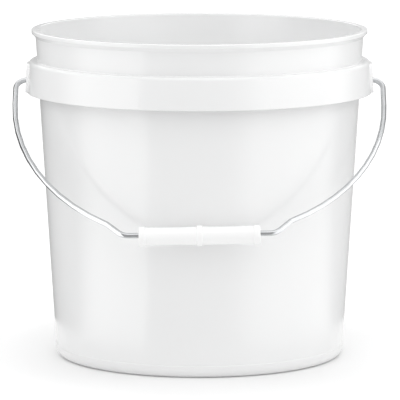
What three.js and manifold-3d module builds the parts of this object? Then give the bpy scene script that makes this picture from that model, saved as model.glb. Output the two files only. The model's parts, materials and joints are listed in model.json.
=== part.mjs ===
// A two gallon plastic pail: a moulded bucket, a bent wire bail hooked into its two ears, and a
// loose plastic grip threaded on the bail. Millimetres, +Z up, origin under the middle of the
// foot. The bail hangs in front, towards -Y, with its grip resting just clear of the wall.
import * as THREE from 'three';
import { mergeVertices } from 'three/addons/utils/BufferGeometryUtils.js';
import Module from 'manifold-3d';

const wasm = await Module();
wasm.setup();

// Bucket shell: one draft angle from the foot to the lip
const height = 238;
const footDiameter = 208.6;
const wallSlope = 0.0615;
const wallThickness = 1.9;
const roundSegments = 96;

// Foot: a rounded corner, a narrow ring that stands on the ground, a raised floor, and a band
// round the outside that is a hair proud of the wall
const footFillet = 6;
const footRingWidth = 3.4;
const footSideDraft = 0.8;
const floorRise = 5;
const floorThickness = 2.2;
const troughWidth = 1.3;
const footBandHeight = 8.6;
const footBandStep = 0.25;

// Lip: a flat band round the mouth, with a 45 degree underside that blends into the neck
const lipOverhang = 2.6;
const lipBand = 2.6;
const lipEdgeRound = 0.8;

// Collar: a hollow skirt below the neck, open downwards and stiffened by ribs
const collarDrop = 22.7;
const collarHeight = 23.1;
const collarReach = 6;
const collarDraft = 0.058;
const collarFillet = 2.5;
const collarThickness = 1.8;
const collarEdgeRound = 0.6;
const ribsPerQuarter = 6;
const ribThickness = 1.4;
const ribSetback = 1.2;

// Ears: a thicker pad on each side of the collar, with a hole for the wire
const earWidth = 26;
const earProud = 1.3;
const earTopSetback = 2.2;
const earCornerRadius = 5;
const earCornerSteps = 4;
const earHoleRise = 8.5;
const earHoleClearance = 0.6;
const earHoleSegments = 24;

// Bail: round wire, bent in one plane, with an upset head inside each ear
const wireDiameter = 3.8;
const wireSides = 14;
const wireTolerance = 0.04;
const bailStandoff = 7.2;
const earBendRadius = 9;
const bowEndSlope = THREE.MathUtils.degToRad(29);
const bowEndStraight = 0.3;
const kinkWidth = 11;
const kinkDepth = 11.3;
const kinkOuterRadius = 5;
const kinkInnerRadius = 10;
const runEndRoom = 11;
const runDrop = 152.2;
const runLean = THREE.MathUtils.degToRad(1.4);
const headLap = 1.5;
const headThickness = 2.4;
const headGap = 0.5;

// Grip: a loose tube with a flange at each end and a ring round its middle
const gripLength = 85;
const gripDiameter = 12.4;
const gripFlare = 0.3;
const gripFlangeDiameter = 14;
const gripFlangeWidth = 4.2;
const gripRingDiameter = 14.6;
const gripRingWidth = 3.6;
const gripEdge = 0.4;
const gripPlay = 2.6;
const gripSegments = 40;
const gripSeatGap = 0.3;
const gripWallGap = 0.4;

// Levels and radii that follow from the sizes above
const footRadius = footDiameter / 2;
const collarTop = height - collarDrop;
const collarBottom = collarTop - collarHeight;
const earTop = collarTop - earTopSetback;
const earHoleLevel = collarBottom + earHoleRise;
const wireRadius = wireDiameter / 2;
const earHoleRadius = wireRadius + earHoleClearance;
const headRadius = earHoleRadius + headLap;
const gripBore = wireDiameter + gripPlay;
const wallRadius = (z) => footRadius + wallSlope * z;
const collarRadius = (z) => wallRadius(collarTop) + collarReach + collarDraft * (collarTop - z);
const earRadius = (z) => collarRadius(z) + earProud;

// Points of a circular arc in a profile, from one angle to another, in degrees
function arc(centreR, centreZ, radius, fromDegrees, toDegrees, steps) {
  const points = [];
  for (let i = 0; i <= steps; i += 1) {
    const angle = THREE.MathUtils.degToRad(fromDegrees + ((toDegrees - fromDegrees) * i) / steps);
    points.push([centreR + radius * Math.cos(angle), centreZ + radius * Math.sin(angle)]);
  }
  return points;
}

// Revolve a closed profile of [radius, height] points round Z, listed anticlockwise
function revolve(profile, segments) {
  const points = profile.map(([r, z]) => new THREE.Vector2(r, z));
  return new THREE.LatheGeometry(points, segments).rotateX(Math.PI / 2);
}

// The same geometry with shared corners and without the flat triangles that lie on the axis
function weld(geometry) {
  geometry.deleteAttribute('normal');
  geometry.deleteAttribute('uv');
  const welded = mergeVertices(geometry, 1e-4);
  const index = welded.index.array;
  const kept = [];
  for (let i = 0; i < index.length; i += 3) {
    const [a, b, c] = [index[i], index[i + 1], index[i + 2]];
    if (a !== b && b !== c && c !== a) kept.push(a, b, c);
  }
  welded.setIndex(kept);
  return welded;
}

function toSolid(geometry) {
  const welded = weld(geometry);
  const vertProperties = Float32Array.from(welded.attributes.position.array);
  const triVerts = Uint32Array.from(welded.index.array);
  return new wasm.Manifold(new wasm.Mesh({ numProp: 3, vertProperties, triVerts }));
}

function toGeometry(solid) {
  const { vertProperties, triVerts } = solid.getMesh();
  const geometry = new THREE.BufferGeometry();
  geometry.setAttribute('position', new THREE.BufferAttribute(vertProperties, 3));
  geometry.setIndex(new THREE.BufferAttribute(triVerts, 1));
  return geometry;
}

// The bucket's shell, from the floor's underside round the foot, up the wall and down inside
function shellProfile() {
  const draft = THREE.MathUtils.radToDeg(Math.atan(wallSlope));
  const filletR = wallRadius(footFillet) - footFillet / Math.cos(Math.atan(wallSlope));
  const bandFilletR = filletR + footBandStep;
  const bandTop = footBandHeight + footBandStep;
  const insideFillet = footFillet - wallThickness;
  const ringInner = filletR - footRingWidth;
  const ringInnerTop = ringInner - footSideDraft;
  const troughInner = filletR - troughWidth;
  const troughInnerTop = troughInner - footSideDraft;
  const floorTop = floorRise + floorThickness;
  const mouthRadius = wallRadius(height) - wallThickness;
  const lipRadius = wallRadius(height) + lipOverhang;
  const lipUnderside = height - lipBand;
  const neckTop = lipUnderside - (lipRadius - wallRadius(lipUnderside - lipOverhang));
  return [
    [0, floorRise],
    [ringInnerTop, floorRise],
    [ringInner, 0],
    ...arc(bandFilletR, footFillet, footFillet, -90, -draft, 6),
    [wallRadius(footBandHeight) + footBandStep, footBandHeight],
    [wallRadius(bandTop), bandTop],
    [wallRadius(neckTop), neckTop],
    [lipRadius, lipUnderside],
    ...arc(lipRadius - lipEdgeRound, height - lipEdgeRound, lipEdgeRound, 0, 90, 3),
    ...arc(mouthRadius + lipEdgeRound, height - lipEdgeRound, lipEdgeRound, 90, 180, 3),
    ...arc(filletR, footFillet, insideFillet, -draft, -90, 4),
    [troughInner, wallThickness],
    [troughInnerTop, floorTop],
    [0, floorTop],
  ];
}

// The skirt's section, rooted halfway into the wall
function collarProfile() {
  const flare = THREE.MathUtils.radToDeg(Math.atan(collarDraft));
  const filletLevel = collarTop - collarFillet;
  const filletR = collarRadius(filletLevel) - collarFillet / Math.cos(Math.atan(collarDraft));
  const edgeLevel = collarBottom + collarEdgeRound;
  const edgeR = collarRadius(collarBottom) - collarEdgeRound;
  const insideTop = collarTop - collarThickness;
  const root = (z) => wallRadius(z) - wallThickness / 2;
  return [
    [root(insideTop), insideTop],
    [collarRadius(insideTop) - collarThickness, insideTop],
    [collarRadius(collarBottom) - collarThickness, collarBottom],
    ...arc(edgeR, edgeLevel, collarEdgeRound, -90, 0, 3),
    ...arc(filletR, filletLevel, collarFillet, flare, 90, 5),
    [root(collarTop), collarTop],
  ];
}

// One stiffening rib, on +X, from inside the wall to inside the skirt
function ribSolid() {
  const bottom = collarBottom + ribSetback;
  const top = collarTop - collarThickness / 2;
  const shape = new THREE.Shape([
    new THREE.Vector2(wallRadius(bottom) - wallThickness / 2, bottom),
    new THREE.Vector2(collarRadius(bottom) - collarThickness / 2, bottom),
    new THREE.Vector2(collarRadius(top) - collarThickness / 2, top),
    new THREE.Vector2(wallRadius(top) - wallThickness / 2, top),
  ]);
  const plate = new THREE.ExtrudeGeometry(shape, { depth: ribThickness, bevelEnabled: false });
  return toSolid(plate.rotateX(Math.PI / 2).translate(0, ribThickness / 2, 0));
}

// An ear's outline seen from the side, Y across and Z up, with its four corners rounded
function earOutline() {
  const half = earWidth / 2;
  const r = earCornerRadius;
  const shape = new THREE.Shape();
  shape.absarc(half - r, collarBottom + r, r, -Math.PI / 2, 0);
  shape.absarc(half - r, earTop - r, r, 0, Math.PI / 2);
  shape.absarc(-half + r, earTop - r, r, Math.PI / 2, Math.PI);
  shape.absarc(-half + r, collarBottom + r, r, Math.PI, Math.PI * 1.5);
  return shape;
}

// The raised pads of both ears: a ring just proud of the collar, kept only inside the outline
function earPads() {
  const inset = collarThickness / 2;
  const ring = toSolid(revolve([
    [collarRadius(collarBottom) - inset, collarBottom],
    [earRadius(collarBottom), collarBottom],
    [earRadius(earTop), earTop],
    [collarRadius(earTop) - inset, earTop],
    [collarRadius(collarBottom) - inset, collarBottom],
  ], roundSegments));
  const reach = 2 * earRadius(collarBottom) + 2;
  const bar = new THREE.ExtrudeGeometry(earOutline(), {
    depth: reach,
    bevelEnabled: false,
    curveSegments: earCornerSteps,
  });
  bar.rotateX(Math.PI / 2).rotateZ(Math.PI / 2).translate(-reach / 2, 0, 0);
  return ring.intersect(toSolid(bar));
}

// The holes through both ears, on the bail's pivot line, reaching only into the skirt's hollow
function earHole(side) {
  const inner = (wallRadius(earHoleLevel) + collarRadius(earHoleLevel) - collarThickness) / 2;
  const outer = earRadius(earHoleLevel) + 1;
  const pin = new THREE.CylinderGeometry(earHoleRadius, earHoleRadius, outer - inner, earHoleSegments);
  pin.rotateZ(Math.PI / 2).translate((side * (inner + outer)) / 2, 0, earHoleLevel);
  return toSolid(pin);
}

function bucketGeometry() {
  const collar = collarProfile();
  let bucket = toSolid(revolve(shellProfile(), roundSegments));
  bucket = bucket.add(toSolid(revolve([...collar, collar[0]], roundSegments)));
  const rib = ribSolid();
  for (let i = 0; i < 4 * ribsPerQuarter; i += 1) {
    bucket = bucket.add(rib.rotate([0, 0, ((i + 0.5) * 90) / ribsPerQuarter]));
  }
  bucket = bucket.add(earPads());
  for (const side of [-1, 1]) bucket = bucket.subtract(earHole(side));
  return toGeometry(bucket);
}

// Where the bail lies in its own plane: X across and Z down from the pivot line
const bowHalfWidth = earRadius(earHoleLevel) + bailStandoff;
const skirtInside = collarRadius(earHoleLevel) - collarThickness;
const wireEnd = skirtInside - headGap - headThickness;
const runHalfWidth = gripLength / 2 + runEndRoom;
const kinkHalfWidth = runHalfWidth + kinkWidth;

// Half the angle between the two straights that meet at a bend's corner
function halfCornerAngle(before, at, after) {
  return before.clone().sub(at).angleTo(after.clone().sub(at)) / 2;
}

// The wire's bends on one side, from the ear inwards: each the corner of two straights and its
// radius. The bow is as round as it can be between its straight leg and the kink.
function bailBends(side) {
  const middle = new THREE.Vector2(0, -runDrop);
  const kinkLevel = kinkDepth - runDrop;
  const run = new THREE.Vector2(side * runHalfWidth, -runDrop).rotateAround(middle, runLean);
  const kink = new THREE.Vector2(side * kinkHalfWidth, kinkLevel).rotateAround(middle, runLean);
  const ear = new THREE.Vector2(side * bowHalfWidth, 0);
  const bowRise = (bowHalfWidth - kinkHalfWidth) * Math.tan(bowEndSlope);
  const bow = new THREE.Vector2(side * bowHalfWidth, kinkLevel + bowRise);
  const kinkSetback = kinkOuterRadius / Math.tan(halfCornerAngle(bow, kink, run));
  const bowSetback = bow.distanceTo(kink) - kinkSetback - bowEndStraight;
  return [
    { at: ear, radius: earBendRadius },
    { at: bow, radius: bowSetback * Math.tan(halfCornerAngle(ear, bow, kink)) },
    { at: kink, radius: kinkOuterRadius },
    { at: run, radius: kinkInnerRadius },
  ];
}

// A plane path of straights joined by circular bends
function bentPath(start, bends, end) {
  const path = new THREE.Path();
  path.moveTo(start.x, start.y);
  const stops = [start, ...bends.map((bend) => bend.at), end];
  bends.forEach(({ at, radius }, i) => {
    const halfAngle = halfCornerAngle(stops[i], at, stops[i + 2]);
    const inward = stops[i].clone().sub(at).normalize();
    const outward = stops[i + 2].clone().sub(at).normalize();
    const bisector = inward.clone().add(outward).normalize();
    const centre = at.clone().addScaledVector(bisector, radius / Math.sin(halfAngle));
    const first = at.clone().addScaledVector(inward, radius / Math.tan(halfAngle));
    const last = at.clone().addScaledVector(outward, radius / Math.tan(halfAngle));
    path.lineTo(first.x, first.y);
    first.sub(centre);
    last.sub(centre);
    path.absarc(centre.x, centre.y, radius, first.angle(), last.angle(), first.cross(last) < 0);
  });
  path.lineTo(end.x, end.y);
  return path;
}

// Where sections stand along a bent path, as fractions of its length: closer in tight bends
function sectionStations(path) {
  const total = path.getLength();
  const stations = [0];
  let travelled = 0;
  for (const piece of path.curves) {
    const length = piece.getLength();
    const radius = piece.xRadius ?? Infinity;
    const chord = 2 * Math.sqrt(2 * radius * wireTolerance);
    const steps = Math.max(1, Math.ceil(length / chord));
    for (let i = 1; i <= steps; i += 1) stations.push((travelled + (length * i) / steps) / total);
    travelled += length;
  }
  return stations;
}

// A plane path stood up in the XZ plane, for an extrusion to follow from station to station
class UprightCurve extends THREE.Curve {
  constructor(path) {
    super();
    this.path = path;
    this.stations = sectionStations(path);
    this.steps = this.stations.length - 1;
  }

  fractionAt(u) {
    const index = Math.min(Math.floor(u * this.steps + 1e-6), this.steps - 1);
    const share = u * this.steps - index;
    return THREE.MathUtils.lerp(this.stations[index], this.stations[index + 1], share);
  }

  getPointAt(u, target = new THREE.Vector3()) {
    const { x, y } = this.path.getPoint(this.fractionAt(u));
    return target.set(x, 0, y);
  }

  getTangentAt(u, target = new THREE.Vector3()) {
    const { x, y } = this.path.getTangent(this.fractionAt(u));
    return target.set(x, 0, y);
  }
}

function bailGeometry() {
  const start = new THREE.Vector2(-wireEnd, 0);
  const end = new THREE.Vector2(wireEnd, 0);
  const bends = [...bailBends(-1), ...bailBends(1).reverse()];
  const curve = new UprightCurve(bentPath(start, bends, end));
  const section = new THREE.Shape().absarc(0, 0, wireRadius, 0, Math.PI * 2);
  const wire = new THREE.ExtrudeGeometry(section, {
    extrudePath: curve,
    steps: curve.steps,
    curveSegments: wireSides / 2,
    bevelEnabled: false,
  });
  let bail = toSolid(wire);
  for (const side of [-1, 1]) {
    const head = new THREE.CylinderGeometry(headRadius, headRadius, headThickness, earHoleSegments);
    head.rotateZ(Math.PI / 2).translate(side * (wireEnd + headThickness / 2), 0, 0);
    bail = bail.add(toSolid(head));
  }
  return toGeometry(bail);
}

// The grip's section along its axis, one half mirrored to the other, with the bore left open
function gripProfile() {
  const half = gripLength / 2;
  const flange = gripFlangeDiameter / 2;
  const ring = gripRingDiameter / 2;
  const waist = gripDiameter / 2;
  const shoulder = half - gripFlangeWidth;
  const ringHalf = gripRingWidth / 2;
  const outer = [
    [flange - gripEdge, half],
    [flange, half - gripEdge],
    [flange, shoulder + gripEdge],
    [waist + gripFlare, shoulder - gripEdge],
    [waist, (shoulder * 2) / 3],
    [waist, shoulder / 3],
    [waist + gripFlare, ringHalf + gripEdge],
    [ring - gripEdge, ringHalf],
    [ring, ringHalf - gripEdge],
  ];
  const mirrored = outer.map(([r, z]) => [r, -z]).reverse();
  const bore = [[gripBore / 2, half], [gripBore / 2, -half]];
  const profile = [...outer, ...mirrored, bore[1], bore[0]].reverse();
  return [...profile, profile[0]];
}

function gripGeometry() {
  return weld(revolve(gripProfile(), gripSegments).rotateY(Math.PI / 2));
}

function part(name, geometry, color, roughness, metalness) {
  const material = new THREE.MeshStandardMaterial({ color, roughness, metalness });
  const mesh = new THREE.Mesh(geometry, material);
  mesh.name = name;
  return mesh;
}

// The bail leans forward until the grip's middle ring is a hair clear of the wall. The grip hangs
// on the wire, so its axis lies below the wire's by the play in its bore.
const lateral = new THREE.Vector3(1, 0, 0);
const gripSag = gripBore / 2 - wireRadius - gripSeatGap;
const gripReach = gripRingDiameter / 2 + gripWallGap;
let bailLean = Math.asin((wallRadius(earHoleLevel / 2) + gripReach) / runDrop);
for (let i = 0; i < 8; i += 1) {
  const gripLevel = earHoleLevel - runDrop * Math.cos(bailLean) - gripSag;
  bailLean = Math.asin((wallRadius(gripLevel) + gripReach) / runDrop);
}

const bucket = part('bucket_body', bucketGeometry(), 0xf4f5f5, 0.35, 0);
const wire = part('wire_bail', bailGeometry(), 0xc9cbcc, 0.25, 1);
const grip = part('hand_grip', gripGeometry(), 0xfbfbfb, 0.3, 0);

const bailGroup = new THREE.Group();
bailGroup.position.set(0, 0, earHoleLevel);
bailGroup.rotation.x = -bailLean;
const hang = new THREE.Vector3(0, 0, -gripSag).applyAxisAngle(lateral, bailLean);
grip.position.set(0, 0, -runDrop).add(hang);
grip.rotation.y = -runLean;
bailGroup.add(wire, grip);

const pail = new THREE.Group();
pail.add(bucket, bailGroup);

export default pail;
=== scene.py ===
# %% [markdown]
# # A two gallon plastic pail, modelled and lit in Blender
# The pail is one moulding of white polyethylene. A bent steel wire hooks into its two ears, and
# a loose plastic grip rides on the wire. The construction model gives every piece its place and
# size, and this lesson replaces its faceted surfaces with fine ones and gives them their finish.
# Sizes are in millimetres in the lesson's formulas, and MM turns them into Blender's metres.

# %% Load the construction model
import json
import math

import bmesh
import bpy
from mathutils import Matrix, Vector


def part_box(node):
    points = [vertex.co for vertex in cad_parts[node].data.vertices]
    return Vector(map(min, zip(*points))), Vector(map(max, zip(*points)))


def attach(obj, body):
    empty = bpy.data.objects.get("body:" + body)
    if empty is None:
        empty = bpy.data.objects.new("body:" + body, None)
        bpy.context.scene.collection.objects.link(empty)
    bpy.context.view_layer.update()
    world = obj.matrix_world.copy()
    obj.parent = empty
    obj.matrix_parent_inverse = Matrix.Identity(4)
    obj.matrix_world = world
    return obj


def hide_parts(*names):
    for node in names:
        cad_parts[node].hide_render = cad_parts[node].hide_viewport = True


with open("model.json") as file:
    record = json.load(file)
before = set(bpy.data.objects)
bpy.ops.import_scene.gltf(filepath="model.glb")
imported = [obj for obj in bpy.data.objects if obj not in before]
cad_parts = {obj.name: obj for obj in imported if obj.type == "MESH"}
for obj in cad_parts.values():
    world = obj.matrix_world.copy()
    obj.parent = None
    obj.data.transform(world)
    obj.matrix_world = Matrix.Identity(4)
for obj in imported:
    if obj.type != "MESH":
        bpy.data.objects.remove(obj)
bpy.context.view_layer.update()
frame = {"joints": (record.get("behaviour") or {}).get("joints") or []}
MM = 0.001

# %% [markdown]
# ## Read the driving sizes back from the model
# The lesson must stand around the model that is really there. So the height and the places of
# the bail and grip come from the loaded pieces and joints, and only what their boxes can't tell,
# such as the foot's radius or a wall's thickness, is written here as a real size.

# %% Driving sizes
joints = {joint["name"]: joint for joint in frame["joints"]}
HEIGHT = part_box("bucket_body")[1][2] / MM
FOOT_RADIUS = 104.3
WALL_SLOPE = 0.0615
WALL = 1.9
PIVOT = Vector(joints["bail_swing"]["pos_m"]) / MM
GRIP_CENTRE = Vector(joints["grip_spin"]["pos_m"]) / MM
GRIP_AXIS = Vector(joints["grip_spin"]["axis"]).normalized()


def wall_radius(z):
    return FOOT_RADIUS + WALL_SLOPE * z


print("height", round(HEIGHT, 2), "pivot", PIVOT, "grip centre", GRIP_CENTRE)

# %% [markdown]
# ## Outlines with rounded corners
# A moulded part has no sharp corner, because plastic doesn't fill one and steel tools don't keep
# one. It is easiest to describe the section by its sharp corners and the radius of each, and to
# let a helper swap each corner for a short arc. Bevelling the finished mesh would also work, but
# then the radii are hard to set apart.

# %% Helper: a rounded outline
ARC_STEP = math.radians(9)


def rounded(corners, closed=False):
    """Swap each (x, y, radius) corner for an arc that touches both of its sides."""
    points = []
    count = len(corners)
    for i, (x, y, radius) in enumerate(corners):
        at = Vector((x, y))
        if radius == 0 or (not closed and i in (0, count - 1)):
            points.append(at)
            continue
        before = (Vector(corners[i - 1][:2]) - at).normalized()
        after = (Vector(corners[(i + 1) % count][:2]) - at).normalized()
        half = before.angle(after) / 2
        centre = at + (before + after).normalized() * radius / math.sin(half)
        first = at + before * radius / math.tan(half) - centre
        turn = first.angle_signed(at + after * radius / math.tan(half) - centre)
        steps = max(2, math.ceil(abs(turn) / ARC_STEP))
        for step in range(steps + 1):
            angle = -turn * step / steps
            points.append(centre + Matrix.Rotation(angle, 2) @ first)
    return points


print("a 5 mm corner takes", len(rounded([(0, 0, 0), (10, 0, 5), (10, 10, 0)])), "points")

# %% [markdown]
# ## Turning an outline into a solid
# Everything round on the pail was cut on a lathe in the mould, so it is spun here too. The spin
# operator takes the outline's vertices and edges once round Z and merges the last step with the
# first. Doubles on the axis are merged and the normals made to agree before anything else.

# %% Helper: spin an outline
def spun(outline, segments, angle=2 * math.pi):
    """A bmesh made by spinning (radius, height) points, in mm, round Z."""
    bm = bmesh.new()
    ring = [bm.verts.new((r * MM, 0, z * MM)) for r, z in outline]
    edges = [bm.edges.new(pair) for pair in zip(ring, ring[1:])]
    full = angle == 2 * math.pi
    bmesh.ops.spin(bm, geom=ring + edges, cent=(0, 0, 0), axis=(0, 0, 1), angle=angle,
                   steps=segments, use_merge=full)
    bmesh.ops.remove_doubles(bm, verts=bm.verts, dist=1e-7)
    bmesh.ops.recalc_face_normals(bm, faces=bm.faces)
    return bm


def finish_piece(bm, name, sharp=40):
    """Turn a bmesh into a smooth shaded object that sits at the origin."""
    mesh = bpy.data.meshes.new(name)
    bm.to_mesh(mesh)
    bm.free()
    mesh.shade_smooth()
    mesh.set_sharp_from_angle(angle=math.radians(sharp))
    piece = bpy.data.objects.new(name, mesh)
    bpy.context.scene.collection.objects.link(piece)
    print(name, "has", len(mesh.vertices), "vertices and", len(mesh.polygons), "faces")
    return piece


# %% [markdown]
# ## The bucket's section
# One closed section makes the whole shell: the raised floor, the rounded foot, the wall with one
# draft angle, the hollow collar as a hook that hangs from the wall, the neck, and the lip with
# its slanted underside. The foot band is a little proud of the wall, and shows as a fine line.

# %% Section sizes
FOOT_FILLET = 6
FOOT_BAND = 8.6
FOOT_BAND_STEP = 0.25
RING_WIDTH = 3.4
RING_DRAFT = 0.8
FLOOR_RISE = 5
FLOOR = 2.2
TROUGH = 1.3
NECK_TALL = 22.7
COLLAR_TALL = 23.1
COLLAR_TOP = HEIGHT - NECK_TALL
COLLAR_BOTTOM = COLLAR_TOP - COLLAR_TALL
COLLAR_OUT = 6
COLLAR_FLARE = 0.058
COLLAR_WALL = 1.8
COLLAR_FILLET = 2.5
LIP_OUT = 2.6
LIP_BAND = 2.6
GATE_RADIUS = 3
GATE_DEPTH = 0.6
GATE_DRAFT = 0.4
print("collar from", round(COLLAR_BOTTOM, 1), "to", round(COLLAR_TOP, 1), "mm up")


def collar_radius(z):
    return wall_radius(COLLAR_TOP) + COLLAR_OUT + COLLAR_FLARE * (COLLAR_TOP - z)


# %% [markdown]
# The corners are listed on the way round: from the middle under the floor out to the foot, up the
# outside, over the lip, and down the inside to the middle again. Each has its radius as a third
# number. Slopes are never listed, because they follow from the two corners at their ends.

# %% The section's corners
def bucket_section():
    """Corners of the bucket's section, from under the floor round to the floor inside."""
    ring_outer = wall_radius(FOOT_FILLET) - FOOT_FILLET
    ring_inner = ring_outer - RING_WIDTH
    trough = ring_outer - TROUGH
    under_collar = COLLAR_TOP - COLLAR_WALL
    lip_radius = wall_radius(HEIGHT) + LIP_OUT
    lip_under = HEIGHT - LIP_BAND
    neck_top = lip_under - (lip_radius - wall_radius(lip_under - LIP_OUT))
    band_top = FOOT_BAND + FOOT_BAND_STEP
    return [
        (0, FLOOR_RISE - GATE_DEPTH, 0),
        (GATE_RADIUS - GATE_DRAFT, FLOOR_RISE - GATE_DEPTH, 0.2),
        (GATE_RADIUS, FLOOR_RISE, 0.15),
        (ring_inner - RING_DRAFT, FLOOR_RISE, 1),
        (ring_inner, 0, 0.4),
        (wall_radius(0) + FOOT_BAND_STEP, 0, FOOT_FILLET),
        (wall_radius(FOOT_BAND) + FOOT_BAND_STEP, FOOT_BAND, 0.1),
        (wall_radius(band_top), band_top, 0.1),
        (wall_radius(under_collar), under_collar, 0.8),
        (collar_radius(under_collar) - COLLAR_WALL, under_collar, 1),
        (collar_radius(COLLAR_BOTTOM) - COLLAR_WALL, COLLAR_BOTTOM, 0.4),
        (collar_radius(COLLAR_BOTTOM), COLLAR_BOTTOM, 0.6),
        (collar_radius(COLLAR_TOP), COLLAR_TOP, COLLAR_FILLET),
        (wall_radius(COLLAR_TOP), COLLAR_TOP, 1),
        (wall_radius(neck_top), neck_top, 0.8),
        (lip_radius, lip_under, 0.5),
        (lip_radius, HEIGHT, 0.8),
        (wall_radius(HEIGHT) - WALL, HEIGHT, 0.8),
        (wall_radius(WALL) - WALL, WALL, FOOT_FILLET - WALL),
        (trough, WALL, 1),
        (trough - RING_DRAFT, FLOOR_RISE + FLOOR, 1.5),
        (0, FLOOR_RISE + FLOOR, 0),
    ]


section = rounded(bucket_section())
print("the section has", len(section), "points after rounding")

# %% [markdown]
# ## Spin the shell and cut the wire holes
# The holes go through ear pads and skirt on one line, the bail's pivot. A boolean cut is the
# plain way to a round hole in a cone. The shell is cut before the pads are added, because the
# exact solver wants a mesh that doesn't cross itself.

# %% Shell with wire holes
SHELL_SEGMENTS = 240
HOLE_RADIUS = 2.5
HOLE_SIDES = 48
PIN_OVERRUN = 5


def carve(piece, cutter, operation):
    """Cut or keep with another closed mesh, and bake the result into the piece."""
    modifier = piece.modifiers.new(operation, "BOOLEAN")
    modifier.operation = operation
    modifier.solver = "EXACT"
    modifier.object = cutter
    evaluated = piece.evaluated_get(bpy.context.evaluated_depsgraph_get())
    mesh = bpy.data.meshes.new_from_object(evaluated)
    piece.modifiers.clear()
    piece.data = mesh
    bpy.data.objects.remove(cutter)


def hole_pin(side):
    """A rod along X through one ear, from the hollow of the collar to the open air."""
    bm = bmesh.new()
    inner = (wall_radius(PIVOT.z) + collar_radius(PIVOT.z) - COLLAR_WALL) / 2
    outer = collar_radius(COLLAR_BOTTOM) + PIN_OVERRUN
    middle = Vector((side * (inner + outer) / 2, 0, PIVOT.z)) * MM
    place = Matrix.Translation(middle) @ Matrix.Rotation(math.pi / 2, 4, "Y")
    bmesh.ops.create_cone(bm, cap_ends=True, segments=HOLE_SIDES, radius1=HOLE_RADIUS * MM,
                          radius2=HOLE_RADIUS * MM, depth=(outer - inner) * MM, matrix=place)
    return finish_piece(bm, "hole_pin")


shell = finish_piece(spun(section, SHELL_SEGMENTS), "bucket_shell")
for side in (-1, 1):
    carve(shell, hole_pin(side), "DIFFERENCE")
print("shell after the holes:", len(shell.data.polygons), "faces")

# %% [markdown]
# ## Ear pads
# Each ear is a thicker patch of the collar, a rounded rectangle when seen from the side. A band
# a little proud of the collar is spun over a small angle, kept only inside the rounded outline,
# drilled, and softened at its edges with a bevel.

# %% Ear pads
EAR_PROUD = 1.3
EAR_WIDTH = 26
EAR_DROP = 2.2
EAR_TOP = COLLAR_TOP - EAR_DROP
EAR_CORNER = 5
EAR_SOFT = 0.45
EAR_SINK = 0.5
EAR_SWEEP = math.radians(18)
EAR_STEPS = 36
OUTLINE_START = 110
OUTLINE_DEPTH = 30


def ear_pad(side):
    """One ear pad, sunk a little into the collar so that no gap shows."""
    low, high = collar_radius(COLLAR_BOTTOM), collar_radius(EAR_TOP)
    band = [
        (low - EAR_SINK, COLLAR_BOTTOM),
        (low + EAR_PROUD, COLLAR_BOTTOM),
        (high + EAR_PROUD, EAR_TOP),
        (high - EAR_SINK, EAR_TOP),
        (low - EAR_SINK, COLLAR_BOTTOM),
    ]
    bm = spun(band, EAR_STEPS, EAR_SWEEP)
    bmesh.ops.holes_fill(bm, edges=[edge for edge in bm.edges if edge.is_boundary])
    bmesh.ops.recalc_face_normals(bm, faces=bm.faces)
    turn = -EAR_SWEEP / 2 if side > 0 else math.pi - EAR_SWEEP / 2
    bmesh.ops.rotate(bm, verts=bm.verts, cent=(0, 0, 0), matrix=Matrix.Rotation(turn, 3, "Z"))
    pad = finish_piece(bm, "ear_pad")
    half = EAR_WIDTH / 2
    outline = rounded([(-half, COLLAR_BOTTOM, EAR_CORNER), (half, COLLAR_BOTTOM, EAR_CORNER),
                       (half, EAR_TOP, EAR_CORNER), (-half, EAR_TOP, EAR_CORNER)], closed=True)
    bar = bmesh.new()
    rim = [bar.verts.new((side * OUTLINE_START * MM, y * MM, z * MM)) for y, z in outline]
    face = bar.faces.new(rim)
    pushed = bmesh.ops.extrude_face_region(bar, geom=[face])
    moved = [item for item in pushed["geom"] if isinstance(item, bmesh.types.BMVert)]
    bmesh.ops.translate(bar, verts=moved, vec=(side * OUTLINE_DEPTH * MM, 0, 0))
    bmesh.ops.recalc_face_normals(bar, faces=bar.faces)
    carve(pad, finish_piece(bar, "ear_outline"), "INTERSECT")
    carve(pad, hole_pin(side), "DIFFERENCE")
    soften = pad.modifiers.new("soften", "BEVEL")
    soften.width = EAR_SOFT * MM
    soften.segments = 3
    soften.limit_method = "ANGLE"
    soften.angle_limit = math.radians(50)
    return pad


ear_pads = [ear_pad(side) for side in (-1, 1)]

# %% [markdown]
# ## Ribs under the collar
# The hollow between skirt and wall is stiffened by 24 thin radial ribs, six in each quarter, so
# that none stands where the wire comes in. One rib is a flat plate, and a loop turns copies of
# it round the axis.

# %% Ribs
RIBS = 24
RIB_THICK = 1.4
RIB_SETBACK = 1.2
RIB_BITE = 0.6


def collar_ribs():
    """All ribs in one mesh, each bitten a little into the wall and the skirt."""
    bm = bmesh.new()
    bottom, top = COLLAR_BOTTOM + RIB_SETBACK, COLLAR_TOP - COLLAR_WALL / 2
    corners = [
        (wall_radius(bottom) - RIB_BITE, bottom),
        (collar_radius(bottom) - COLLAR_WALL + RIB_BITE, bottom),
        (collar_radius(top) - COLLAR_WALL + RIB_BITE, top),
        (wall_radius(top) - RIB_BITE, top),
    ]
    for i in range(RIBS):
        rim = [bm.verts.new((r * MM, -RIB_THICK / 2 * MM, z * MM)) for r, z in corners]
        face = bm.faces.new(rim)
        pushed = bmesh.ops.extrude_face_region(bm, geom=[face])
        moved = [item for item in pushed["geom"] if isinstance(item, bmesh.types.BMVert)]
        bmesh.ops.translate(bm, verts=moved, vec=(0, RIB_THICK * MM, 0))
        turn = Matrix.Rotation(2 * math.pi * (i + 0.5) / RIBS, 3, "Z")
        bmesh.ops.rotate(bm, verts=rim + moved, cent=(0, 0, 0), matrix=turn)
    bmesh.ops.recalc_face_normals(bm, faces=bm.faces)
    return finish_piece(bm, "collar_ribs", sharp=30)


ribs = collar_ribs()

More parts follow.
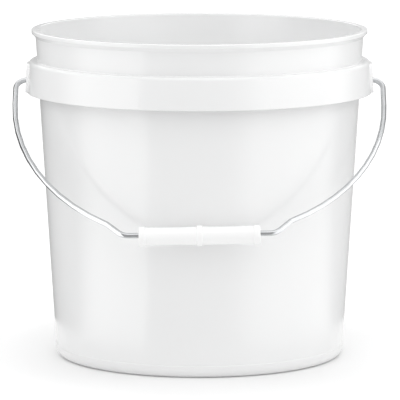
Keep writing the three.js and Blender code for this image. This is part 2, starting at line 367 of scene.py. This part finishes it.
# %% [markdown]
# The mould's collar ring is split, and where its parts meet they leave a fine raised line on the
# skirt. Two such lines show in front. Each is a narrow strip that follows the skirt's outer
# outline, so it is spun over a fraction of a degree.

# %% Parting lines
PARTING_ANGLES = (-110.0, -66.5)
PARTING_PROUD = (0.16, 0.08)
PARTING_WIDTH = 0.7
PARTING_SINK = 0.3


def parting_line(angle, proud):
    """A thin strip on the collar, at an angle in degrees round from the right hand ear."""
    bottom = COLLAR_BOTTOM + 0.5
    top = COLLAR_TOP - 1.2
    sweep = PARTING_WIDTH / collar_radius(bottom)
    band = [
        (collar_radius(bottom) - PARTING_SINK, bottom),
        (collar_radius(bottom) + proud, bottom + 0.2),
        (collar_radius(top) + proud - 0.4, top),
        (collar_radius(top) - 1.2, top + 0.8),
        (collar_radius(bottom) - PARTING_SINK, bottom),
    ]
    bm = spun(band, 2, sweep)
    bmesh.ops.holes_fill(bm, edges=[edge for edge in bm.edges if edge.is_boundary])
    bmesh.ops.recalc_face_normals(bm, faces=bm.faces)
    turn = Matrix.Rotation(math.radians(angle) - sweep / 2, 3, "Z")
    bmesh.ops.rotate(bm, verts=bm.verts, cent=(0, 0, 0), matrix=turn)
    return finish_piece(bm, "parting_line", sharp=60)


parting_lines = [parting_line(*pair) for pair in zip(PARTING_ANGLES, PARTING_PROUD)]

# %% [markdown]
# ## Bending the wire
# A wire bender feeds wire straight, bends it round a pin, and feeds again. The same two moves
# make the mesh: extrude the open end straight, or spin it round a bend's centre. The bends lie
# in one plane and are given by the corners where the straights would meet.

# %% Bend plan
WIRE_RADIUS = 1.9
HEAD_RADIUS = 4
HEAD_LENGTH = 2.4
HEAD_GAP = 0.5
BOW_STANDOFF = 7.2
BOW_HALF = collar_radius(PIVOT.z) + EAR_PROUD + BOW_STANDOFF
WIRE_END = collar_radius(PIVOT.z) - COLLAR_WALL - HEAD_GAP - HEAD_LENGTH
RUN_HALF = 53.5
RUN_DROP = 152.2
RUN_LEAN = math.radians(1.4)
KINK = (11, 11.3)
BOW_SLOPE = math.radians(29)
EAR_BEND, KINK_BEND, RUN_BEND = 9, 5, 10
BEND_SPACING = 0.3


def half_angle(before, at, after):
    return (before - at).angle(after - at) / 2


def bends(side):
    """The bends of one side from the ear inwards, as (corner, radius), X across and Y down."""
    lean = Matrix.Rotation(RUN_LEAN, 2)
    middle = Vector((0, -RUN_DROP))
    run = middle + lean @ Vector((side * RUN_HALF, 0))
    kink = middle + lean @ Vector((side * (RUN_HALF + KINK[0]), KINK[1]))
    ear = Vector((side * BOW_HALF, 0))
    rise = (BOW_HALF - RUN_HALF - KINK[0]) * math.tan(BOW_SLOPE)
    bow = Vector((side * BOW_HALF, KINK[1] - RUN_DROP + rise))
    setback = KINK_BEND / math.tan(half_angle(bow, kink, run))
    reach = (bow - kink).length - setback - BEND_SPACING
    bow_radius = reach * math.tan(half_angle(ear, bow, kink))
    return [(ear, EAR_BEND), (bow, bow_radius), (kink, KINK_BEND), (run, RUN_BEND)]


plan = bends(-1) + bends(1)[::-1]
print("bend radii:", [round(radius, 1) for _, radius in plan])

# %% [markdown]
# The wire starts at its left head. A ring of vertices stands across the wire, and each feed or
# bend adds rings. Two attributes are kept on the vertices, the distance along the wire and the
# place round it, because drawing marks on real wire run along it and the material needs both.

# %% Bend the wire
WIRE_SIDES = 32
BEND_STEP = math.radians(6)
STRAIGHT_STEP = 6


def wire_bmesh():
    """The bail in its own plane, hanging straight down from the pivot, in mm."""
    bm = bmesh.new()
    along_layer = bm.verts.layers.float.new("along")
    around_layer = bm.verts.layers.float_vector.new("around")
    stand = Matrix.Rotation(-math.pi / 2, 4, "Y")
    made = bmesh.ops.create_circle(bm, cap_ends=False, segments=WIRE_SIDES, radius=WIRE_RADIUS,
                                   matrix=stand)
    ring = made["verts"]
    for vert in ring:
        vert[around_layer] = vert.co.normalized()
    bmesh.ops.translate(bm, verts=ring, vec=(-WIRE_END, 0, 0))
    first = list(ring)
    edges = list({edge for vert in ring for edge in vert.link_edges})
    travelled = 0.0

    def grow(centre, angle, shift, length):
        nonlocal edges, travelled
        pushed = bmesh.ops.extrude_edge_only(bm, edges=edges)["geom"]
        verts = [item for item in pushed if isinstance(item, bmesh.types.BMVert)]
        edges = [item for item in pushed if isinstance(item, bmesh.types.BMEdge)]
        if angle:
            bmesh.ops.rotate(bm, verts=verts, cent=centre, matrix=Matrix.Rotation(angle, 3, "Y"))
        bmesh.ops.translate(bm, verts=verts, vec=shift)
        travelled += length
        for vert in verts:
            vert[along_layer] = travelled
        return verts

    def feed(start, stop):
        step_count = max(1, math.ceil((stop - start).length / STRAIGHT_STEP))
        shift = (stop - start) / step_count
        for _ in range(step_count):
            ring_now = grow(None, 0, (shift.x, 0, shift.y), shift.length)
        return ring_now

    position = Vector((-WIRE_END, 0))
    stops = [position] + [corner for corner, _ in plan] + [Vector((WIRE_END, 0))]
    for i, (corner, radius) in enumerate(plan):
        inward = (stops[i] - corner).normalized()
        outward = (stops[i + 2] - corner).normalized()
        half = half_angle(stops[i], corner, stops[i + 2])
        feed(position, corner + inward * radius / math.tan(half))
        centre = corner + (inward + outward).normalized() * radius / math.sin(half)
        turn = math.pi - 2 * half
        direction = math.copysign(1, inward.cross(outward))
        step_count = max(2, math.ceil(turn / BEND_STEP))
        for _ in range(step_count):
            grow((centre.x, 0, centre.y), direction * turn / step_count, (0, 0, 0),
                 radius * turn / step_count)
        position = corner + outward * radius / math.tan(half)
    last = feed(position, stops[-1])
    for ends in (first, last):
        rim = {edge for vert in ends for edge in vert.link_edges
               if edge.other_vert(vert) in ends}
        bmesh.ops.contextual_create(bm, geom=list(rim))
    bmesh.ops.recalc_face_normals(bm, faces=bm.faces)
    print("wire length, mm:", round(travelled, 1))
    return bm


# %% [markdown]
# Each end of the wire is upset into a button head that can't slip out of its ear. The heads are
# short spun solids, put on the wire inside the collar's hollow. Then the whole bail is leaned
# forward about the pivot, until its run stands where the grip's joint says.

# %% Heads, and the bail put in place
def add_head(bm, side):
    """Spin a rounded button and join it to the wire's end."""
    outline = rounded([(0, 0, 0), (HEAD_RADIUS, 0, 0.5), (HEAD_RADIUS, HEAD_LENGTH, 0.9),
                       (0, HEAD_LENGTH, 0)])
    head = spun(outline, 40)
    bmesh.ops.scale(head, verts=head.verts, vec=(1 / MM,) * 3)
    turn = Matrix.Rotation(side * math.pi / 2, 4, "Y")
    place = Matrix.Translation((side * WIRE_END, 0, 0)) @ turn
    bmesh.ops.transform(head, verts=head.verts, matrix=place)
    mesh = bpy.data.meshes.new("head")
    head.to_mesh(mesh)
    head.free()
    bm.from_mesh(mesh)
    bpy.data.meshes.remove(mesh)


bail_mesh = wire_bmesh()
for side in (-1, 1):
    add_head(bail_mesh, side)
lean = math.asin(-GRIP_CENTRE.y / RUN_DROP)
place = Matrix.Translation(PIVOT * MM) @ Matrix.Rotation(-lean, 4, "X") @ Matrix.Scale(MM, 4)
bmesh.ops.transform(bail_mesh, verts=bail_mesh.verts, matrix=place)
bail = finish_piece(bail_mesh, "bail_wire", sharp=50)
print("the bail leans", round(math.degrees(lean), 2), "degrees")

# %% [markdown]
# ## The grip
# The grip is a moulded tube, a little slimmer between its flanges and middle ring, so that it
# sits in the hand. It is spun like the bucket, laid along X, and put on the line of its joint.

# %% Grip
GRIP_HALF = 42.5
GRIP_RADIUS = 6.2
GRIP_FLARE = 0.3
GRIP_BORE = 3.2
GRIP_SEGMENTS = 72
FLANGE = (7.0, 4.2)
RING = (7.3, 1.8)
WAIST_ENDS = (0.62, 0.34)
WAIST_BEND = 60


def grip_outline():
    """The grip's section from one end to the other and back through the bore, radius first."""
    shoulder = GRIP_HALF - FLANGE[1]
    half = [
        (GRIP_BORE, GRIP_HALF, 0.5),
        (FLANGE[0], GRIP_HALF, 0.7),
        (FLANGE[0], shoulder, 0.5),
        (GRIP_RADIUS + GRIP_FLARE, shoulder - 0.5, 0.4),
        (GRIP_RADIUS, shoulder * WAIST_ENDS[0], WAIST_BEND),
        (GRIP_RADIUS, shoulder * WAIST_ENDS[1], WAIST_BEND),
        (GRIP_RADIUS + GRIP_FLARE, RING[1] + 0.4, 0.3),
        (RING[0], RING[1], 0.5),
    ]
    other = [(r, -z, radius) for r, z, radius in reversed(half)]
    return rounded(half + other, closed=True)


def grip_piece():
    outline = grip_outline()
    bm = spun(outline + outline[:1], GRIP_SEGMENTS)
    along_x = Vector((0, 0, 1)).rotation_difference(GRIP_AXIS).to_matrix().to_4x4()
    bmesh.ops.transform(bm, verts=bm.verts, matrix=Matrix.Translation(GRIP_CENTRE * MM) @ along_x)
    return finish_piece(bm, "grip_tube")


grip = grip_piece()

# %% [markdown]
# ## Patterns as expressions
# A material's pattern is arithmetic on a few textures. A node graph for it is long to write, so
# one small class wraps a socket and turns Python's operators into Math nodes, and one method of
# the material's tree makes any other node.

# %% Helper: shader maths
class Signal:
    """A number that varies over a surface, for use in sums and products."""

    def __init__(self, tree, socket):
        self.tree = tree
        self.socket = socket

    def math(self, operation, first, second):
        """One Math node on two signals or numbers."""
        return self.tree.node("Math", {"operation": operation}, {0: first, 1: second})

    def __add__(self, other):
        return self.math("ADD", self, other)

    def __radd__(self, other):
        return self.math("ADD", other, self)

    def __sub__(self, other):
        return self.math("SUBTRACT", self, other)

    def __rsub__(self, other):
        return self.math("SUBTRACT", other, self)

    def __mul__(self, other):
        return self.math("MULTIPLY", self, other)

    def __rmul__(self, other):
        return self.math("MULTIPLY", other, self)


class Tree:
    """The node tree of a material or world, with one method that makes any node."""

    def __init__(self, owner):
        owner.use_nodes = True
        self.nodes = owner.node_tree.nodes
        self.links = owner.node_tree.links
        self.nodes.clear()

    def node(self, kind, settings=None, values=None, output=0):
        """Make a node, set it, fill or link its sockets, and hand back one output."""
        made = self.nodes.new("ShaderNode" + kind)
        for name, value in (settings or {}).items():
            setattr(made, name, value)
        for name, value in (values or {}).items():
            socket = made.inputs[name]
            if isinstance(value, Signal):
                self.links.new(value.socket, socket)
            else:
                socket.default_value = value
        return Signal(self, made.outputs[output]) if made.outputs else None


# %% [markdown]
# ## White polyethylene
# Moulded polyethylene isn't perfectly smooth. It has slow waves where the melt flowed, a faint
# orange peel that shows in its gloss, and a tone that drifts by a percent or two. All of these
# read the object's own coordinates. The waves are the only bump, because bumps finer than a
# pixel or two turn into specks where the surface is seen at a grazing angle.

# %% Material: moulded white plastic
WAVE_DEPTH = 0.03
WAVE_SCALE = 40
WAVE_STRETCH = (1, 1, 0.2)
DRIFT_SCALE = 14
DRIFT_GLOSS = 0.1
PEEL_GLOSS = 0.02


def moulded_plastic(name, colour, shade, gloss, peel_size):
    """White plastic between two tones, with its roughness and the size of its peel in mm."""
    material = bpy.data.materials.new(name)
    tree = Tree(material)
    place = tree.node("TexCoord", output="Object")
    drift = tree.node("TexNoise", None, {"Vector": place, "Scale": DRIFT_SCALE, "Detail": 3})
    stretched = tree.node("Mapping", None, {"Vector": place, "Scale": WAVE_STRETCH})
    flow = tree.node("TexNoise", None, {"Vector": stretched, "Scale": WAVE_SCALE, "Detail": 1})
    peel_scale = 1000 / peel_size
    peel = tree.node("TexNoise", None, {"Vector": place, "Scale": peel_scale, "Detail": 2})
    tone = drift * 0.7 + flow * 0.3
    base = tree.node("Mix", {"data_type": "RGBA"}, {0: tone, 6: (*shade, 1), 7: (*colour, 1)}, 2)
    roughness = gloss + (drift - 0.5) * DRIFT_GLOSS + (peel - 0.5) * PEEL_GLOSS
    height = flow * WAVE_DEPTH
    bump = tree.node("Bump", None, {"Height": height, "Strength": 1, "Distance": MM})
    surface = tree.node("BsdfPrincipled", None, {
        "Base Color": base,
        "Roughness": roughness,
        "Normal": bump,
        "IOR": 1.5,
    })
    tree.node("OutputMaterial", None, {"Surface": surface})
    return material


BUCKET_TONES = ((0.89, 0.892, 0.892), (0.87, 0.873, 0.875))
GRIP_TONES = ((0.97, 0.97, 0.97), (0.95, 0.95, 0.95))
bucket_white = moulded_plastic("bucket_white", *BUCKET_TONES, gloss=0.19, peel_size=2.2)
grip_white = moulded_plastic("grip_white", *GRIP_TONES, gloss=0.24, peel_size=1.8)
print("plastics:", bucket_white.name, grip_white.name)

# %% [markdown]
# ## Zinc plated wire
# Drawn wire carries fine marks along its length, and the plating is brighter and duller in
# patches. The marks use the distances stored while bending, so they follow every bend.

# %% Material: plated wire
ZINC_DULL = (0.5, 0.51, 0.52, 1)
ZINC_BRIGHT = (0.64, 0.65, 0.66, 1)
MARK_DEPTH = 0.03
MARK_RUN = 0.02


def plated_wire():
    """Zinc on drawn wire, with marks that follow the wire and patches of duller plating."""
    material = bpy.data.materials.new("plated_wire")
    tree = Tree(material)
    around = tree.node("Attribute", {"attribute_name": "around"}, output="Vector")
    along = tree.node("Attribute", {"attribute_name": "along"}, output="Fac")
    place = tree.node("TexCoord", output="Object")
    shift = tree.node("CombineXYZ", None, {0: along * MARK_RUN})
    lane = tree.node("VectorMath", {"operation": "ADD"}, {0: around, 1: shift})
    marks = tree.node("TexNoise", None, {"Vector": lane, "Scale": 9, "Detail": 4})
    patches = tree.node("TexNoise", None, {"Vector": place, "Scale": 160, "Detail": 2})
    base = tree.node("Mix", {"data_type": "RGBA"}, {0: patches, 6: ZINC_DULL, 7: ZINC_BRIGHT}, 2)
    roughness = 0.06 + marks * 0.1 + (patches - 0.5) * 0.06
    depth = MARK_DEPTH * MM
    bump = tree.node("Bump", None, {"Height": marks, "Strength": 0.3, "Distance": depth})
    surface = tree.node("BsdfPrincipled", None, {
        "Base Color": base,
        "Metallic": 1,
        "Roughness": roughness,
        "Normal": bump,
    })
    tree.node("OutputMaterial", None, {"Surface": surface})
    return material


wire_metal = plated_wire()
print("metal:", wire_metal.name)

# %% [markdown]
# ## Dress the pieces
# Every piece rides on the body that it belongs to and gets its finish, and the faceted piece that
# it stands for is hidden.

# %% Bodies, replacements and finishes
def dress(piece, body, node, material):
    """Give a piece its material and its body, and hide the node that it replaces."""
    piece.data.materials.clear()
    piece.data.materials.append(material)
    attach(piece, body)
    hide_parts(node)


plastic_pieces = [shell, *ear_pads, ribs, *parting_lines]
for piece in plastic_pieces:
    dress(piece, "pail", "bucket_body", bucket_white)
dress(bail, "bail", "wire_bail", wire_metal)
dress(grip, "grip", "hand_grip", grip_white)
print(len(plastic_pieces) + 2, "pieces are dressed")

# %% [markdown]
# ## Floor and studio
# The pail stands on a pale matte floor, which carries its soft contact shadow. A faint steady glow
# keeps the deepest part of that shadow from going black. Away from the pail the floor glows a
# little more for rays from the camera, in reflections and through clear things, so that it ends
# in a white background without more light on the pail.

# %% Floor
FLOOR_PAINT = 0.82
FLOOR_GLOW = 0.06
FLOOR_LIFT = 0.19
LIFT_START = 0.105
LIFT_END = 0.3
FLOOR_HALF = 12


def floor_material():
    """Matte paint, with a lift towards white that grows with the distance from the pail."""
    material = bpy.data.materials.new("studio_floor")
    tree = Tree(material)
    camera_ray = tree.node("LightPath", output="Is Camera Ray")
    glossy_ray = tree.node("LightPath", output="Is Glossy Ray")
    clear_ray = tree.node("LightPath", output="Is Transmission Ray")
    seen = camera_ray + glossy_ray + clear_ray
    place = tree.node("TexCoord", output="Object")
    reach = tree.node("VectorMath", {"operation": "LENGTH"}, {0: place}, "Value")
    limits = {"Value": reach, "From Min": LIFT_START, "From Max": LIFT_END}
    away = tree.node("MapRange", {"interpolation_type": "SMOOTHSTEP"}, limits)
    paint = tree.node("BsdfDiffuse", None, {"Color": (FLOOR_PAINT,) * 3 + (1,)})
    glow = tree.node("Emission", None, {"Strength": seen * (away * FLOOR_LIFT) + FLOOR_GLOW})
    both = tree.node("AddShader", None, {0: paint, 1: glow})
    tree.node("OutputMaterial", None, {"Surface": both})
    return material


floor_mesh = bmesh.new()
bmesh.ops.create_grid(floor_mesh, x_segments=1, y_segments=1, size=FLOOR_HALF)
floor = finish_piece(floor_mesh, "studio_floor")
floor.data.materials.append(floor_material())

# %% [markdown]
# White plastic on a white floor has no outline of its own. A photographer draws one with a grey
# screen round the set: the pail's sides mirror it at a grazing angle, and so does the wire. White
# panels on the screen, with straight edges, make the pale upright bands on the plastic. The
# screen's foot sweeps in towards the pail, so that the foot of the wall mirrors it too. The
# screen is a ring that only reflections see, so it throws no shadow and hides nothing.
#
# A panel is written as four angles and its brightness: where it is full, where it starts to
# show, where it has gone, and where it starts to go. The sizes of floor, screen and lamps are
# real ones, in mm for the spun screen and in metres for the rest.

# %% Grey screen with white panels
SCREEN_RADIUS = 300
SCREEN_HEIGHT = 300
SWEEP_RADIUS = 190
SWEEP_HEIGHT = 70
SCREEN_LIFT = 1
SCREEN_FRONT = 0.55
SCREEN_BACK = (0.18, 0.42)
SCREEN_SEGMENTS = 96
LEFT_PANEL = (-33, -30, -90, -66, 2.2)
RIGHT_PANEL = (36, 16, 106, 84, 1.8)


def screen_material():
    """Glow by the angle round the pail, in degrees from the camera's side to the right."""
    material = bpy.data.materials.new("grey_screen")
    tree = Tree(material)
    place = tree.node("TexCoord", output="Object")
    across = tree.node("SeparateXYZ", None, {0: place}, "X")
    ahead = tree.node("SeparateXYZ", None, {0: place}, "Y")
    turn = tree.node("Math", {"operation": "ARCTAN2"}, {0: across, 1: 0 - ahead}) * math.degrees(1)

    def fade(whole, none):
        limits = {"Value": turn, "From Min": none, "From Max": whole}
        return tree.node("MapRange", {"interpolation_type": "SMOOTHSTEP"}, limits)

    level = SCREEN_FRONT
    for (full, start, gone, going, glow), back in zip((LEFT_PANEL, RIGHT_PANEL), SCREEN_BACK):
        level = fade(full, start) * (glow - SCREEN_FRONT) + level
        level = fade(gone, going) * (back - glow) + level
    grey = tree.node("Emission", None, {"Strength": level, "Color": (1, 1, 1, 1)})
    tree.node("OutputMaterial", None, {"Surface": grey})
    return material


screen_edge = [
    (SWEEP_RADIUS, SCREEN_LIFT),
    (SCREEN_RADIUS, SWEEP_HEIGHT),
    (SCREEN_RADIUS, SCREEN_HEIGHT),
]
screen = finish_piece(spun(screen_edge, SCREEN_SEGMENTS), "grey_screen")
screen.data.materials.append(screen_material())
screen.visible_camera = False
screen.visible_diffuse = False
screen.visible_shadow = False

# %% [markdown]
# The studio is a tent of even light with soft brighter patches high in front, overhead, at the
# right and behind. So the world's brightness depends on direction: each soft spot is a smooth
# step of the angle between the ray and the spot's middle.
#
# A spot is written as its angle round, its angle up, the half angle where it is full, the half
# angle where it ends, and how much it adds.

# %% World
def toward(azimuth, elevation):
    """Direction by degrees round from the camera's side to the right, and degrees up."""
    turn, rise = math.radians(azimuth), math.radians(elevation)
    return (math.sin(turn) * math.cos(rise), -math.cos(turn) * math.cos(rise), math.sin(rise))


def soft_spot(tree, direction, azimuth, elevation, inner, outer):
    """1 near a direction and 0 away from it, with a soft edge between two angles."""
    aim = toward(azimuth, elevation)
    facing = tree.node("VectorMath", {"operation": "DOT_PRODUCT"}, {0: direction, 1: aim}, "Value")
    limits = {"Value": facing, 1: math.cos(math.radians(outer)), 2: math.cos(math.radians(inner))}
    return tree.node("MapRange", {"interpolation_type": "SMOOTHSTEP"}, limits)


WORLD_BASE = 0.61
WORLD_SPOTS = {
    "front": (0, 50, 10, 40, 0.88),
    "zenith": (0, 90, 10, 50, 0.4),
    "behind": (180, 50, 10, 40, 0.5),
    "right": (90, 60, 10, 40, 0.25),
    "back": (180, 15, 10, 40, 0.8),
}


def build_world():
    """Even light plus every soft spot, as one strength."""
    world = bpy.data.worlds.new("studio")
    bpy.context.scene.world = world
    tree = Tree(world)
    direction = tree.node("TexCoord", output="Generated")
    level = WORLD_BASE
    for azimuth, elevation, inner, outer, strength in WORLD_SPOTS.values():
        level = soft_spot(tree, direction, azimuth, elevation, inner, outer) * strength + level
    light = tree.node("Background", None, {"Strength": level, "Color": (1, 1, 1, 1)})
    tree.node("OutputWorld", None, {"Surface": light})


build_world()
print("world spots:", ", ".join(WORLD_SPOTS))

# %% [markdown]
# Two tall soft boxes stand close to the pail, a wide one at its left and a narrow one at its
# right, a little in front. They light the sides that the camera sees at a slant. A box's strength
# is written as its brightness, because that is what a reflection shows, and its power follows
# from its area.

# %% Soft boxes
BOX_DISTANCE = 0.57


def soft_box(name, azimuth, width, bottom, top, brightness):
    """An upright lamp that faces the pail, between two heights, as bright as written."""
    data = bpy.data.lights.new(name, "AREA")
    data.shape = "RECTANGLE"
    data.size = width
    data.size_y = top - bottom
    data.energy = brightness * math.pi * width * (top - bottom)
    lamp = bpy.data.objects.new(name, data)
    side = Vector(toward(azimuth, 0))
    lamp.location = side * BOX_DISTANCE + Vector((0, 0, (bottom + top) / 2))
    lamp.rotation_euler = (-side).to_track_quat("-Z", "Y").to_euler()
    lamp.visible_camera = False
    bpy.context.scene.collection.objects.link(lamp)
    return lamp


soft_box("soft_box_left", -90, 0.5, 0.33, 0.82, 1.25)
soft_box("soft_box_right", 76, 0.28, 0.25, 0.82, 1.6)

# %% [markdown]
# ## Camera
# The picture was taken from about 2.7 metres with a long lens, level with the eyes of someone
# crouching: the camera is half a metre up and looks down by 8.1 degrees. A long lens keeps the
# sides of the pail nearly parallel.

# %% Camera
SENSOR = 36
FOCAL_PIXELS = 3742
FRAME_PIXELS = 400
CAMERA_PLACE = (0.0004, -2.7, 0.497)
CAMERA_PITCH = math.radians(8.106)
CLIP_END = 50

camera_data = bpy.data.cameras.new("camera")
camera_data.sensor_width = SENSOR
camera_data.lens = FOCAL_PIXELS * SENSOR / FRAME_PIXELS
camera_data.clip_end = CLIP_END
camera = bpy.data.objects.new("camera", camera_data)
camera.location = CAMERA_PLACE
camera.rotation_euler = (math.pi / 2 - CAMERA_PITCH, 0, 0)
bpy.context.scene.collection.objects.link(camera)
bpy.context.scene.camera = camera
bpy.context.scene.view_settings.view_transform = "Standard"
print("lens, mm:", round(camera_data.lens, 1))
